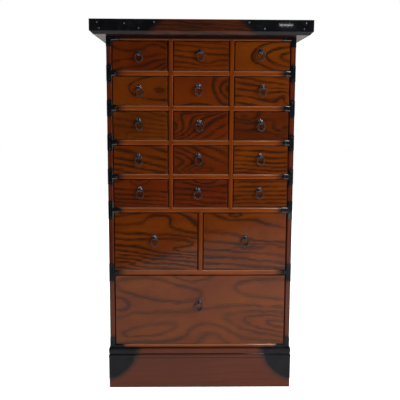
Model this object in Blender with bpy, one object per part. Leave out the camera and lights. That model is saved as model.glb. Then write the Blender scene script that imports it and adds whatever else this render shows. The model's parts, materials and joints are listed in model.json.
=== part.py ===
"""Apothecary cabinet: a narrow chest of eighteen drawers with iron corner fittings.

Five rows of three small drawers stand over one row of two medium drawers and one large drawer.
Every drawer slides out towards -Y and carries an iron eye from which a ring pull hangs.

Units are metres, +Z is up and the front faces -Y. The origin lies on the floor, under the
middle of the overall box.
"""

import math

import bmesh
import bpy
from mathutils import Matrix, Vector

# Overall size
TOTAL_HEIGHT = 0.900
TOP_WIDTH = 0.515
TOP_DEPTH = 0.400

# Top board
TOP_THICKNESS = 0.034
TOP_CHAMFER = 0.007

# Case
CASE_WIDTH = 0.448
CASE_FRONT = -0.155
CASE_BACK = 0.195
SIDE_THICKNESS = 0.0125
BACK_THICKNESS = 0.006
EDGE_CHAMFER = 0.0026

# Heights of the drawer openings, from the floor up
BOTTOM_RAIL_TOP = 0.112
LARGE_OPENING = 0.178
MEDIUM_OPENING = 0.1435
SMALL_OPENING = 0.0695
RAIL_THICKNESS = 0.0125
SMALL_ROWS = 5
DIVIDER_THICKNESS = 0.012
BOTTOM_RAIL_DEPTH = 0.020
BOTTOM_BOARD_THICKNESS = 0.0125

# Base: plinth boards whose moulded lip covers the foot of the case
PLINTH_HEIGHT = 0.0775
PLINTH_PROUD = 0.0029
PLINTH_THICKNESS = 0.015
GROOVE_HEIGHT = 0.0875
GROOVE_PROUD = 0.0012
LIP_TOP = 0.1055
LOWER_BEAD_PROUD = 0.0037
UPPER_BEAD_PROUD = 0.0032
BEAD_STEPS = 5
BEAD_FULLNESS = 0.6  # exponent of the bead's sine curve: less than 1 makes it rounder

# Drawers
FRONT_RECESS = 0.0005
FRONT_THICKNESS = 0.017
FRONT_BEVEL = 0.0012
FRONT_SIDE_GAP = 0.0016
FRONT_TOP_GAP = 0.0015
FRONT_BOTTOM_GAP = 0.0007
DRAWER_LENGTH = 0.300
TRAY_WALL = 0.008
TRAY_BOTTOM = 0.005
TRAY_SIDE_GAP = 0.0020
TRAY_LIFT = 0.0003
TRAY_HEIGHT_SHARE = 0.82

# Ring pulls, set by hand: every eye sits a little off the place meant for it
PULL_SHIFT = -0.003
PULL_RISE = 0.0078
LARGE_PULL_RISE = 0.0183
PULL_OFFSETS = {  # (right, up) from the place meant
    "1_left": (0.0, -0.004),
    "1_centre": (0.001, 0.0005),
    "1_right": (-0.001, 0.0015),
    "2_left": (0.001, -0.003),
    "2_centre": (-0.0035, 0.001),
    "2_right": (0.0035, 0.0005),
    "3_left": (-0.0005, 0.001),
    "3_centre": (-0.001, -0.002),
    "3_right": (0.001, -0.0005),
    "4_left": (-0.002, -0.001),
    "4_centre": (-0.003, 0.0005),
    "4_right": (0.001, 0.0),
    "5_left": (0.0005, 0.001),
    "5_centre": (-0.004, -0.001),
    "5_right": (0.0, 0.0),
    "medium_left": (-0.001, 0.0005),
    "medium_right": (0.0035, 0.0005),
    "large": (0.0, 0.0),
}
PLATE_RADIUS = 0.0066
PLATE_CREST_RADIUS = 0.0050
PLATE_HEIGHT = 0.0022
PLATE_RISE = 0.0012  # the eye droops below the middle of its plate
PLATE_SIDES = 16
EYE_REACH = 0.008
EYE_RADIUS = 0.005
EYE_WIDTH = 0.005
EYE_HOLE_RADIUS = 0.00275
EYE_SIDES = 12
NECK_HEIGHT = 0.005
RING_HALF_WIDTH = 0.0088
RING_HALF_HEIGHT = 0.0098
RING_WIRE_RADIUS = 0.0017
RING_STEPS = 20
WIRE_SIDES = 6

# Irons
IRON_THICKNESS = 0.0009
TOP_IRON_UPPER_LENGTH = 0.161
TOP_IRON_LOWER_LENGTH = 0.131
TOP_IRON_RETURN = 0.060
PLINTH_IRON_LENGTH = 0.062
PLINTH_IRON_DROP = 0.054
PLINTH_IRON_STEPS = 8
PLINTH_IRON_FULLNESS = 1.5  # exponent of the outline's superellipse: 1 is straight, 2 is an oval

# Clearances
FIT_GAP = 0.0003
OVERLAP = 0.001

# Values worked out from the sizes above
TOP_UNDERSIDE = TOTAL_HEIGHT - TOP_THICKNESS
CASE_HALF = CASE_WIDTH / 2
INNER_HALF = CASE_HALF - SIDE_THICKNESS
INNER_BACK = CASE_BACK - BACK_THICKNESS
BOARD_BACK = INNER_BACK - FIT_GAP
CROSSING_Y = (CASE_FRONT + BOARD_BACK) / 2
IRON_STAND = FIT_GAP + IRON_THICKNESS

WOOD_RED = (0.105, 0.021, 0.005)
WOOD_FRONT = (0.130, 0.027, 0.006)
WOOD_TOP = (0.060, 0.016, 0.006)
WOOD_PLAIN = (0.230, 0.120, 0.055)
IRON_BLACK = (0.018, 0.019, 0.021)


def spans_between(low, high, count, divider):
    """The openings left when equal dividers split low..high into equal parts."""
    width = (high - low - divider * (count - 1)) / count
    return [(low + i * (width + divider), low + i * (width + divider) + width) for i in range(count)]


def row_levels():
    """(low, high) of each drawer row's opening, from the lowest row to the highest."""
    rows = []
    level = BOTTOM_RAIL_TOP
    for height in [LARGE_OPENING, MEDIUM_OPENING] + [SMALL_OPENING] * SMALL_ROWS:
        rows.append((level, level + height))
        level += height + RAIL_THICKNESS
    return rows


ROWS = row_levels()
LARGE_ROW, MEDIUM_ROW = ROWS[0], ROWS[1]
SMALL_LEVELS = ROWS[:1:-1]
COLUMNS = spans_between(-INNER_HALF, INNER_HALF, 3, DIVIDER_THICKNESS)
HALVES = spans_between(-INNER_HALF, INNER_HALF, 2, DIVIDER_THICKNESS)
COLUMN_NAMES = ("left", "centre", "right")
HALF_NAMES = ("left", "right")


def clear_scene():
    for obj in list(bpy.data.objects):
        bpy.data.objects.remove(obj, do_unlink=True)


def make_collection(name, is_helper=False):
    collection = bpy.data.collections.new(name)
    bpy.context.scene.collection.children.link(collection)
    collection.hide_render = is_helper
    return collection


def make_material(name, colour, roughness, metallic):
    material = bpy.data.materials.new(name)
    material.use_nodes = True
    shader = material.node_tree.nodes["Principled BSDF"]
    shader.inputs["Base Color"].default_value = (*colour, 1.0)
    shader.inputs["Roughness"].default_value = roughness
    shader.inputs["Metallic"].default_value = metallic
    material.diffuse_color = (*colour, 1.0)
    return material


clear_scene()
CABINET = make_collection("apothecary_cabinet")
CUTTERS = make_collection("cutters", is_helper=True)
CASE_WOOD = make_material("case_wood", WOOD_RED, 0.35, 0.0)
FRONT_WOOD = make_material("drawer_wood", WOOD_FRONT, 0.35, 0.0)
TOP_WOOD = make_material("top_wood", WOOD_TOP, 0.35, 0.0)
PLAIN_WOOD = make_material("plain_wood", WOOD_PLAIN, 0.6, 0.0)
BLACK_IRON = make_material("black_iron", IRON_BLACK, 0.45, 0.8)


def mesh_from(bm, name, material=None):
    """Turns a bmesh into a mesh with its faces pointing out."""
    bmesh.ops.recalc_face_normals(bm, faces=bm.faces)
    mesh = bpy.data.meshes.new(name)
    bm.to_mesh(mesh)
    bm.free()
    if material:
        mesh.materials.append(material)
    return mesh


def add_object(name, mesh, collection, location=(0.0, 0.0, 0.0)):
    obj = bpy.data.objects.new(name, mesh)
    obj.location = location
    collection.objects.link(obj)
    if collection is CUTTERS:
        obj.hide_render = True
        obj.display_type = "WIRE"
    return obj


def block_bmesh(x_span, y_span, z_span):
    """A box between three (low, high) spans."""
    spans = (x_span, y_span, z_span)
    size = Vector([high - low for low, high in spans])
    middle = Vector([(low + high) / 2 for low, high in spans])
    bm = bmesh.new()
    bmesh.ops.create_cube(bm, size=1.0)
    bmesh.ops.scale(bm, vec=size, verts=bm.verts)
    bmesh.ops.translate(bm, vec=middle, verts=bm.verts)
    return bm


def board(name, x_span, y_span, z_span, material):
    """A plain board as an object whose origin is the board's middle."""
    middle = [(low + high) / 2 for low, high in (x_span, y_span, z_span)]
    centred = [(low - m, high - m) for (low, high), m in zip((x_span, y_span, z_span), middle)]
    mesh = mesh_from(block_bmesh(*centred), name, material)
    return add_object(name, mesh, CABINET, middle)


def block_cutter(name, x_span, y_span, z_span):
    return add_object(name, mesh_from(block_bmesh(x_span, y_span, z_span), name), CUTTERS)


def cylinder_bmesh(radius, depth, axis, centre, segments, end_radius=None):
    """A cylinder, or a cone towards +axis, along X or Y."""
    turn = {"X": Matrix.Rotation(math.radians(90), 4, "Y"), "Y": Matrix.Rotation(math.radians(90), 4, "X")}
    bm = bmesh.new()
    bmesh.ops.create_cone(
        bm,
        cap_ends=True,
        segments=segments,
        radius1=radius,
        radius2=radius if end_radius is None else end_radius,
        depth=depth,
        matrix=Matrix.Translation(centre) @ turn[axis],
    )
    return bm


def boolean(obj, other, operation):
    """Adds an exact Boolean with an object or with a whole collection of cutters."""
    modifier = obj.modifiers.new(f"{operation.lower()}_{other.name}", "BOOLEAN")
    modifier.operation = operation
    modifier.solver = "EXACT"
    if isinstance(other, bpy.types.Collection):
        modifier.operand_type = "COLLECTION"
        modifier.collection = other
    else:
        modifier.object = other


def combined_mesh(name, first, additions, cuts, material):
    """One mesh from bmeshes: first, joined with the additions, less the cuts."""
    base = add_object(name + "_base", mesh_from(first, name, material), CUTTERS)
    helpers = [base]
    for operation, shapes in (("UNION", additions), ("DIFFERENCE", cuts)):
        for i, shape in enumerate(shapes):
            helper_name = f"{name}_{operation.lower()}_{i}"
            helper = add_object(helper_name, mesh_from(shape, helper_name), CUTTERS)
            boolean(base, helper, operation)
            helpers.append(helper)
    bpy.context.view_layer.update()
    evaluated = base.evaluated_get(bpy.context.evaluated_depsgraph_get())
    mesh = bpy.data.meshes.new_from_object(evaluated)
    mesh.name = name
    for helper in helpers:
        bpy.data.objects.remove(helper, do_unlink=True)
    return mesh


def extruded_outline(points, place, low, high):
    """A prism: the outline's (u, v) points go through place(u, v, w) at w = low and w = high."""
    bm = bmesh.new()
    outline = [bm.verts.new(place(u, v, low)) for u, v in points]
    face = bm.faces.new(outline)
    made = bmesh.ops.extrude_face_region(bm, geom=[face])
    for vert in [v for v in made["geom"] if isinstance(v, bmesh.types.BMVert)]:
        index = min(range(len(points)), key=lambda i: (vert.co - outline[i].co).length)
        vert.co = Vector(place(*points[index], high))
    return bm


def cell_mouths():
    """Cutters that give each drawer opening its mitred chamfer, as one tapered block per opening."""
    mouths = bpy.data.collections.new("mouths")
    CUTTERS.children.link(mouths)
    mouths.hide_render = True
    cells = [(x, z) for z in SMALL_LEVELS for x in COLUMNS]
    cells += [(x, MEDIUM_ROW) for x in HALVES]
    cells.append(((-INNER_HALF, INNER_HALF), LARGE_ROW))
    reach = EDGE_CHAMFER + OVERLAP
    for i, (x_span, z_span) in enumerate(cells):
        bm = block_bmesh(
            (x_span[0] + OVERLAP, x_span[1] - OVERLAP),
            (CASE_FRONT - OVERLAP, CASE_FRONT + reach),
            (z_span[0] + OVERLAP, z_span[1] - OVERLAP),
        )
        middle = Vector((sum(x_span) / 2, 0.0, sum(z_span) / 2))
        for vert in bm.verts:
            if vert.co.y < CASE_FRONT:
                side = vert.co - middle
                vert.co.x += math.copysign(reach + OVERLAP, side.x)
                vert.co.z += math.copysign(reach + OVERLAP, side.z)
        obj = bpy.data.objects.new(f"mouth_{i}", mesh_from(bm, f"mouth_{i}"))
        obj.hide_render = True
        obj.display_type = "WIRE"
        mouths.objects.link(obj)
    return mouths


def make_top_board():
    half = TOP_WIDTH / 2 - IRON_STAND
    front = -TOP_DEPTH / 2 + IRON_STAND
    top = board(
        "top_board", (-half, half), (front, TOP_DEPTH / 2), (TOP_UNDERSIDE, TOTAL_HEIGHT), TOP_WOOD
    )
    bm = bmesh.new()
    bm.from_mesh(top.data)
    lower = [
        edge
        for edge in bm.edges
        if all(vert.co.z < 0 for vert in edge.verts)
        and not all(vert.co.y > 0 for vert in edge.verts)
    ]
    bmesh.ops.bevel(bm, geom=lower, offset=TOP_CHAMFER, segments=1, affect="EDGES", clamp_overlap=True)
    bm.to_mesh(top.data)
    bm.free()


def make_case(mouths):
    foot = PLINTH_HEIGHT + FIT_GAP
    head = TOP_UNDERSIDE - FIT_GAP
    inner = (-INNER_HALF + FIT_GAP, INNER_HALF - FIT_GAP)
    depth = (CASE_FRONT, BOARD_BACK)
    for name, side in (("left", -1), ("right", 1)):
        x_span = sorted((side * INNER_HALF, side * CASE_HALF))
        panel = board(f"side_panel_{name}", x_span, (CASE_FRONT, CASE_BACK), (foot, head), CASE_WOOD)
        boolean(panel, mouths, "DIFFERENCE")
    board("back_panel", inner, (INNER_BACK, CASE_BACK), (foot, head), PLAIN_WOOD)
    case_top = board("case_top", inner, depth, (SMALL_LEVELS[0][1], head), CASE_WOOD)
    boolean(case_top, mouths, "DIFFERENCE")
    rail_back = CASE_FRONT + BOTTOM_RAIL_DEPTH
    rail = board("bottom_rail", inner, (CASE_FRONT, rail_back), (foot, BOTTOM_RAIL_TOP), CASE_WOOD)
    boolean(rail, mouths, "DIFFERENCE")
    board(
        "bottom_board",
        inner,
        (rail_back + FIT_GAP, BOARD_BACK),
        (BOTTOM_RAIL_TOP - BOTTOM_BOARD_THICKNESS, BOTTOM_RAIL_TOP),
        PLAIN_WOOD,
    )
    make_shelves_and_partitions(mouths, inner, depth)


def make_shelves_and_partitions(mouths, inner, depth):
    """Four shelves cross two partitions in half-depth notches; two whole shelves lie below."""
    crossing = SMALL_LEVELS[:-1]
    whole = (SMALL_LEVELS[-1], MEDIUM_ROW)
    shelf_spans = [(low - RAIL_THICKNESS, low) for low, _ in (*crossing, *whole)]
    divider_spans = [(COLUMNS[0][1], COLUMNS[1][0]), (COLUMNS[1][1], COLUMNS[2][0])]

    slots = bpy.data.collections.new("shelf_slots")
    notches = bpy.data.collections.new("partition_notches")
    for group in (slots, notches):
        CUTTERS.children.link(group)
        group.hide_render = True
    for i, (low, high) in enumerate(divider_spans):
        slot = block_cutter(
            f"slot_{i}",
            (low - FIT_GAP, high + FIT_GAP),
            (CASE_FRONT - OVERLAP, CROSSING_Y),
            (LARGE_ROW[0], TOTAL_HEIGHT),
        )
        slots.objects.link(slot)
    for i, (low, high) in enumerate(shelf_spans[: len(crossing)]):
        notch = block_cutter(
            f"notch_{i}",
            inner,
            (CROSSING_Y - FIT_GAP, CASE_BACK + OVERLAP),
            (low - FIT_GAP, high + FIT_GAP),
        )
        notches.objects.link(notch)

    for i, z_span in enumerate(shelf_spans):
        shelf = board(f"shelf_{i + 1}", inner, depth, z_span, CASE_WOOD)
        if i < len(crossing):
            boolean(shelf, slots, "DIFFERENCE")
        boolean(shelf, mouths, "DIFFERENCE")

    tall = (SMALL_LEVELS[-1][0] + FIT_GAP, SMALL_LEVELS[0][1] - FIT_GAP)
    for name, x_span in zip(HALF_NAMES, divider_spans):
        partition = board(f"partition_{name}", x_span, depth, tall, CASE_WOOD)
        boolean(partition, notches, "DIFFERENCE")
        boolean(partition, mouths, "DIFFERENCE")
    short = (MEDIUM_ROW[0] + FIT_GAP, MEDIUM_ROW[1] - FIT_GAP)
    centre = board("partition_centre", (HALVES[0][1], HALVES[1][0]), depth, short, CASE_WOOD)
    boolean(centre, mouths, "DIFFERENCE")


def bead(low, high, root_low, root_high, crest):
    """Points up a rounded bead between two heights, on (outward, z) axes."""
    points = []
    for step in range(1, BEAD_STEPS):
        share = step / BEAD_STEPS
        root = root_low + (root_high - root_low) * share
        swell = math.sin(math.pi * share) ** BEAD_FULLNESS
        points.append((root + (crest - root) * swell, low + (high - low) * share))
    return points


def base_section():
    """The plinth board's section as (outward, z) points, measured from the face of the case."""
    inside = PLINTH_PROUD - PLINTH_THICKNESS
    section = [(inside, 0.0), (PLINTH_PROUD, 0.0), (PLINTH_PROUD, PLINTH_HEIGHT)]
    section += bead(PLINTH_HEIGHT, GROOVE_HEIGHT, PLINTH_PROUD, GROOVE_PROUD, LOWER_BEAD_PROUD)
    section.append((GROOVE_PROUD, GROOVE_HEIGHT))
    section += bead(GROOVE_HEIGHT, LIP_TOP, GROOVE_PROUD, FIT_GAP * 2, UPPER_BEAD_PROUD)
    section += [(FIT_GAP * 2, LIP_TOP), (FIT_GAP, LIP_TOP)]
    section += [(FIT_GAP, PLINTH_HEIGHT), (inside, PLINTH_HEIGHT)]
    return section


def make_base():
    """Front and side boards meet in mitres; the back board is plain and sits between the sides."""
    section = base_section()
    mitre_gap = FIT_GAP * math.sqrt(2)

    def front_place(outward, z, end):
        return (end * (CASE_HALF + outward), CASE_FRONT - outward, z)

    front = extruded_outline(section, front_place, -1, 1)
    add_object("plinth_front", mesh_from(front, "plinth_front", CASE_WOOD), CABINET)
    for name, side in (("left", -1), ("right", 1)):

        def side_place(outward, z, end, side=side):
            y = CASE_FRONT - outward + mitre_gap if end < 0 else CASE_BACK
            return (side * (CASE_HALF + outward), y, z)

        flank = extruded_outline(section, side_place, -1, 1)
        add_object(f"plinth_{name}", mesh_from(flank, f"plinth_{name}", CASE_WOOD), CABINET)
    reach = CASE_HALF + PLINTH_PROUD - PLINTH_THICKNESS - FIT_GAP
    board(
        "plinth_back",
        (-reach, reach),
        (CASE_BACK - PLINTH_THICKNESS, CASE_BACK),
        (0.0, PLINTH_HEIGHT),
        PLAIN_WOOD,
    )


def drawer_mesh(name, opening_width, opening_height, pull_x, pull_z):
    """Front, tray and pull eye as one solid. The origin is the middle of the front's lower edge."""
    half = opening_width / 2 - FRONT_SIDE_GAP
    height = opening_height - FRONT_BOTTOM_GAP - FRONT_TOP_GAP
    front = block_bmesh((-half, half), (0.0, FRONT_THICKNESS), (0.0, height))
    rim = [edge for edge in front.edges if all(vert.co.y < FRONT_BEVEL for vert in edge.verts)]
    bmesh.ops.bevel(front, geom=rim, offset=FRONT_BEVEL, segments=1, affect="EDGES", clamp_overlap=True)

    tray_half = opening_width / 2 - TRAY_SIDE_GAP
    tray_top = opening_height * TRAY_HEIGHT_SHARE
    tray = block_bmesh(
        (-tray_half, tray_half), (FRONT_THICKNESS - OVERLAP, DRAWER_LENGTH), (TRAY_LIFT, tray_top)
    )
    hollow = block_bmesh(
        (-tray_half + TRAY_WALL, tray_half - TRAY_WALL),
        (FRONT_THICKNESS, DRAWER_LENGTH - TRAY_WALL),
        (TRAY_BOTTOM, opening_height + OVERLAP),
    )

    plate_depth = PLATE_HEIGHT + OVERLAP
    plate = cylinder_bmesh(
        PLATE_RADIUS,
        plate_depth,
        "Y",
        (pull_x, OVERLAP - plate_depth / 2, pull_z + PLATE_RISE),
        PLATE_SIDES,
        PLATE_CREST_RADIUS,
    )
    neck = block_bmesh(
        (pull_x - EYE_WIDTH / 2 + FIT_GAP, pull_x + EYE_WIDTH / 2 - FIT_GAP),
        (-EYE_REACH, 0.0),
        (pull_z - NECK_HEIGHT / 2, pull_z + NECK_HEIGHT / 2),
    )
    eye_centre = (pull_x, -EYE_REACH, pull_z)
    eye = cylinder_bmesh(EYE_RADIUS, EYE_WIDTH, "X", eye_centre, EYE_SIDES)
    hole = cylinder_bmesh(EYE_HOLE_RADIUS, EYE_WIDTH * 2, "X", eye_centre, EYE_SIDES)
    return combined_mesh(name, front, [tray, plate, neck, eye], [hollow, hole], FRONT_WOOD)


def ring_mesh():
    """An oval ring in the XZ plane whose origin is the middle of the wire at the ring's top."""
    bpy.ops.mesh.primitive_torus_add(
        major_segments=RING_STEPS,
        minor_segments=WIRE_SIDES,
        major_radius=RING_HALF_WIDTH,
        minor_radius=RING_WIRE_RADIUS,
        rotation=(math.radians(90), 0.0, 0.0),
    )
    torus = bpy.context.object
    mesh = torus.data
    mesh.name = "ring_pull"
    tall = Matrix.Diagonal((1.0, 1.0, RING_HALF_HEIGHT / RING_HALF_WIDTH, 1.0))
    mesh.transform(Matrix.Translation((0.0, 0.0, -RING_HALF_HEIGHT)) @ tall @ torus.matrix_basis)
    bpy.data.objects.remove(torus, do_unlink=True)
    mesh.materials.clear()
    mesh.materials.append(BLACK_IRON)
    mesh.shade_smooth()
    return mesh


def make_drawer(name, place, ring, x_span, z_span, rise):
    """One drawer in its opening, with its ring hung in the eye. place is its key in PULL_OFFSETS."""
    right, up = PULL_OFFSETS[place]
    height = z_span[1] - z_span[0]
    pull_x = PULL_SHIFT + right
    pull_z = height / 2 + rise + up
    mesh = drawer_mesh(name, x_span[1] - x_span[0], height, pull_x, pull_z)
    corner = (sum(x_span) / 2, CASE_FRONT + FRONT_RECESS, z_span[0] + FRONT_BOTTOM_GAP)
    drawer = add_object(name, mesh, CABINET, corner)
    pull = add_object(f"ring_{place}", ring, CABINET, (pull_x, -EYE_REACH, pull_z))
    pull.parent = drawer


def make_drawers():
    ring = ring_mesh()
    for row, z_span in enumerate(SMALL_LEVELS, start=1):
        for column, x_span in zip(COLUMN_NAMES, COLUMNS):
            place = f"{row}_{column}"
            make_drawer(f"small_drawer_{place}", place, ring, x_span, z_span, PULL_RISE)
    for half, x_span in zip(HALF_NAMES, HALVES):
        make_drawer(f"medium_drawer_{half}", f"medium_{half}", ring, x_span, MEDIUM_ROW, PULL_RISE)
    whole = (-INNER_HALF, INNER_HALF)
    make_drawer("large_drawer", "large", ring, whole, LARGE_ROW, LARGE_PULL_RISE)


def make_top_irons():
    """A plate along the front edge of the top board, bent round its corner on to the end."""
    low = TOP_UNDERSIDE + TOP_CHAMFER + FIT_GAP
    high = TOTAL_HEIGHT - FIT_GAP
    corner_x = TOP_WIDTH / 2
    corner_y = -TOP_DEPTH / 2
    for name, side in (("left", -1), ("right", 1)):
        outline = [
            (corner_x, low),
            (corner_x, high),
            (corner_x - TOP_IRON_UPPER_LENGTH, high),
            (corner_x - TOP_IRON_LOWER_LENGTH, low),
        ]

        def place(u, v, w, side=side):
            return (side * u, corner_y + w, v)

        face = extruded_outline(outline, place, 0.0, IRON_THICKNESS)
        end_x = sorted((side * corner_x, side * (corner_x - IRON_THICKNESS)))
        end = block_bmesh(end_x, (corner_y, corner_y + TOP_IRON_RETURN), (low, high))
        mesh = combined_mesh(f"top_iron_{name}", face, [end], [], BLACK_IRON)
        add_object(f"top_iron_{name}", mesh, CABINET)


def make_plinth_irons():
    """A rounded corner plate on each face of the plinth's front corner, bent from one sheet."""
    outward = PLINTH_PROUD + IRON_STAND
    high = PLINTH_HEIGHT - FIT_GAP
    outline = [(0.0, 0.0)]
    for step in range(PLINTH_IRON_STEPS + 1):
        angle = math.pi / 2 * step / PLINTH_IRON_STEPS
        along = max(math.cos(angle), 0.0) ** (2 / PLINTH_IRON_FULLNESS)
        down = math.sin(angle) ** (2 / PLINTH_IRON_FULLNESS)
        outline.append((PLINTH_IRON_LENGTH * along, -PLINTH_IRON_DROP * down))
    for name, side in (("left", -1), ("right", 1)):
        corner_x = CASE_HALF + outward
        corner_y = CASE_FRONT - outward

        def front_place(u, v, w, side=side, corner_x=corner_x, corner_y=corner_y):
            return (side * (corner_x - u), corner_y + w, high + v)

        def side_place(u, v, w, side=side, corner_x=corner_x, corner_y=corner_y):
            return (side * (corner_x - w), corner_y + u, high + v)

        face = extruded_outline(outline, front_place, 0.0, IRON_THICKNESS)
        flank = extruded_outline(outline, side_place, 0.0, IRON_THICKNESS)
        mesh = combined_mesh(f"plinth_iron_{name}", face, [flank], [], BLACK_IRON)
        add_object(f"plinth_iron_{name}", mesh, CABINET)


def main():
    make_top_board()
    make_case(cell_mouths())
    make_base()
    make_drawers()
    make_top_irons()
    make_plinth_irons()


main()
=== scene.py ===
"""Looks of the apothecary cabinet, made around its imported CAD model.

The carcass boards are the CAD's own nodes, in lacquered wood. The drawers, ring pulls, base mouldings and
irons are finer pieces that stand for theirs. Lengths are in metres, the front faces -Y, and +Z is up.
"""

import json
import math
import random
from collections import namedtuple
from functools import partialmethod

import bmesh
import bpy
from mathutils import Matrix, Vector


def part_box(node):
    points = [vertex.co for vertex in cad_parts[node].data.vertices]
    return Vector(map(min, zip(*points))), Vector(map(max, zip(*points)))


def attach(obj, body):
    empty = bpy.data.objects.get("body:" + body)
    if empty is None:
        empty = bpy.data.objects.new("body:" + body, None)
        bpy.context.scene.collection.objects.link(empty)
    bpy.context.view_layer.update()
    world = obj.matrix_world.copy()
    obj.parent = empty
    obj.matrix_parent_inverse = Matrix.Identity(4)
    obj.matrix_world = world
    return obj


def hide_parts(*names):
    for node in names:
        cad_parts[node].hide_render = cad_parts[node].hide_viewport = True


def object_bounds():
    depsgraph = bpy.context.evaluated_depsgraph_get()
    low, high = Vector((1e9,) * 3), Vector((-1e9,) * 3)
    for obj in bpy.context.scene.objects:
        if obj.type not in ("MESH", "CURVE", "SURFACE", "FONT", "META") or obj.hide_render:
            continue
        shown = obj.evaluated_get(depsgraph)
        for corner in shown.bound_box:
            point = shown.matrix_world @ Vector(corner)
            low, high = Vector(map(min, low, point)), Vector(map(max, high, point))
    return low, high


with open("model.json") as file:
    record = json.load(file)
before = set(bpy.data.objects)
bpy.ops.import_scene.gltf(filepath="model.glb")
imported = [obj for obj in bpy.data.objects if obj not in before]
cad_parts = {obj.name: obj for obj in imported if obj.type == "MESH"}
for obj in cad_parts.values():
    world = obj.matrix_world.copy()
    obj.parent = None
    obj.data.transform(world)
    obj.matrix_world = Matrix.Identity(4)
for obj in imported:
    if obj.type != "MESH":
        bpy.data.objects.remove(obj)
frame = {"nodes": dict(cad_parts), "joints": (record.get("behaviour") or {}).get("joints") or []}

CAD_LOW, CAD_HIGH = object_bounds()

# ---------- places, from the CAD model
SIDE_LOW, SIDE_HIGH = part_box("side_panel_right")
TOP_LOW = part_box("top_board")[0]
FRONT = SIDE_LOW.y
CASE_BACK = SIDE_HIGH.y
CASE_HALF = SIDE_HIGH.x
INNER_HALF = SIDE_LOW.x
SHELVES = [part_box(f"shelf_{number}") for number in range(1, 7)]
CASE_TOP_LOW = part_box("case_top")[0].z
BOTTOM_RAIL_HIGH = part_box("bottom_rail")[1].z
TOP_IRON_LOW, TOP_IRON_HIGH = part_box("top_iron_right")
PLINTH_IRON_LOW, PLINTH_IRON_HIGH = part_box("plinth_iron_right")
PLINTH_IRON_LENGTH = PLINTH_IRON_HIGH.x - PLINTH_IRON_LOW.x
PLINTH_IRON_FULLNESS = 1.5
TOP_IRON_LOWER_END = TOP_IRON_LOW.x + 0.030
BEAD_IRON_END = 0.1550
BEAD_IRON_SLANT = 0.41

Opening = namedtuple("Opening", "left right low high")
Drawer = namedtuple("Drawer", "name ring opening")
COLUMN_NAMES = ("left", "centre", "right")
SMALL_ROWS = 5
SIDES = (("left", -1), ("right", 1))

# The CAD's details that its boxes don't give
CHAMFER = 0.0026
FRONT_THICKNESS = 0.017
FRONT_RECESS = 0.0005
TRAY_LENGTH = 0.300
TRAY_WALL = 0.008
TRAY_BOTTOM = 0.005
TRAY_SIDE_GAP = 0.0004
TRAY_LIFT = 0.0003
TRAY_HEIGHT_SHARE = 0.82
DRAWER_LIFT = 0.0007
PLATE_RISE = 0.0012
RING_HALF_WIDTH = 0.0088
RING_HALF_HEIGHT = 0.0098
RING_WIRE = 0.0017
PLINTH_TOP = 0.0775
GROOVE = 0.0875
LIP_TOP = 0.1055

# Sheet iron
SHEET = 0.00040
PLINTH_SHEET = 0.00060
SHEET_GAP = 0.00010
SHEET_EDGE = 0.00012

# ---------- colours (linear)
Palette = namedtuple("Palette", "light deep line")
CASE_PALETTE = Palette((0.152, 0.0290, 0.0014), (0.105, 0.0180, 0.0012), (0.045, 0.0090, 0.0016))
DRAWER_PALETTE = Palette((0.110, 0.0215, 0.0010), (0.074, 0.0115, 0.0009), (0.0175, 0.0052, 0.0015))
BASE_PALETTE = Palette((0.070, 0.0125, 0.0024), (0.056, 0.0095, 0.0022), (0.034, 0.0070, 0.0024))
TOP_PALETTE = Palette((0.048, 0.0115, 0.0040), (0.030, 0.0070, 0.0030), (0.014, 0.0040, 0.0022))
PLAIN_PALETTE = Palette((0.50, 0.27, 0.115), (0.40, 0.20, 0.080), (0.26, 0.12, 0.050))
# Colour of the painted highlight on the front's chamfers and beads
CHAMFER_HIGHLIGHT_COLOUR = (0.40, 0.19, 0.11)
# Dark colour of the stain round the irons, also used for painted shade under the top board and in the base's
# creases
STAIN_AND_SHADE_COLOUR = (0.0045, 0.0035, 0.0045)
IRON = (0.0022, 0.0023, 0.0030)
IRON_WORN = (0.0085, 0.0088, 0.0105)
STEEL_DARK = (0.070, 0.075, 0.092)
STEEL_WORN = (0.330, 0.330, 0.350)
RING_DARK = (0.0075, 0.0060, 0.0060)
RING_BRIGHT = (0.036, 0.029, 0.027)
FLOOR_GREYS = ((0.80, 0.80, 0.80), (0.84, 0.84, 0.84))


def openings():
    """Every drawer's opening in the front frame, from the top left to the bottom."""
    left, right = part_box("partition_left"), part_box("partition_right")
    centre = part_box("partition_centre")
    columns = [(-INNER_HALF, left[0].x), (left[1].x, right[0].x), (right[1].x, INNER_HALF)]
    halves = [(-INNER_HALF, centre[0].x), (centre[1].x, INNER_HALF)]
    found = []
    for row in range(SMALL_ROWS):
        low = SHELVES[row][1].z
        high = SHELVES[row - 1][0].z if row else CASE_TOP_LOW
        for column, span in zip(COLUMN_NAMES, columns):
            names = (f"small_drawer_{row + 1}_{column}", f"ring_{row + 1}_{column}")
            found.append(Drawer(*names, Opening(*span, low, high)))
    for side, span in zip(("left", "right"), halves):
        names = (f"medium_drawer_{side}", f"ring_medium_{side}")
        found.append(Drawer(*names, Opening(*span, SHELVES[5][1].z, SHELVES[4][0].z)))
    large = Opening(-INNER_HALF, INNER_HALF, BOTTOM_RAIL_HIGH, SHELVES[5][0].z)
    found.append(Drawer("large_drawer", "ring_large", large))
    return found


DRAWERS = openings()
RING_AXES = {joint["child"]: Vector(joint["pos_m"]) for joint in frame["joints"] if joint["type"] == "hinge"}


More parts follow.
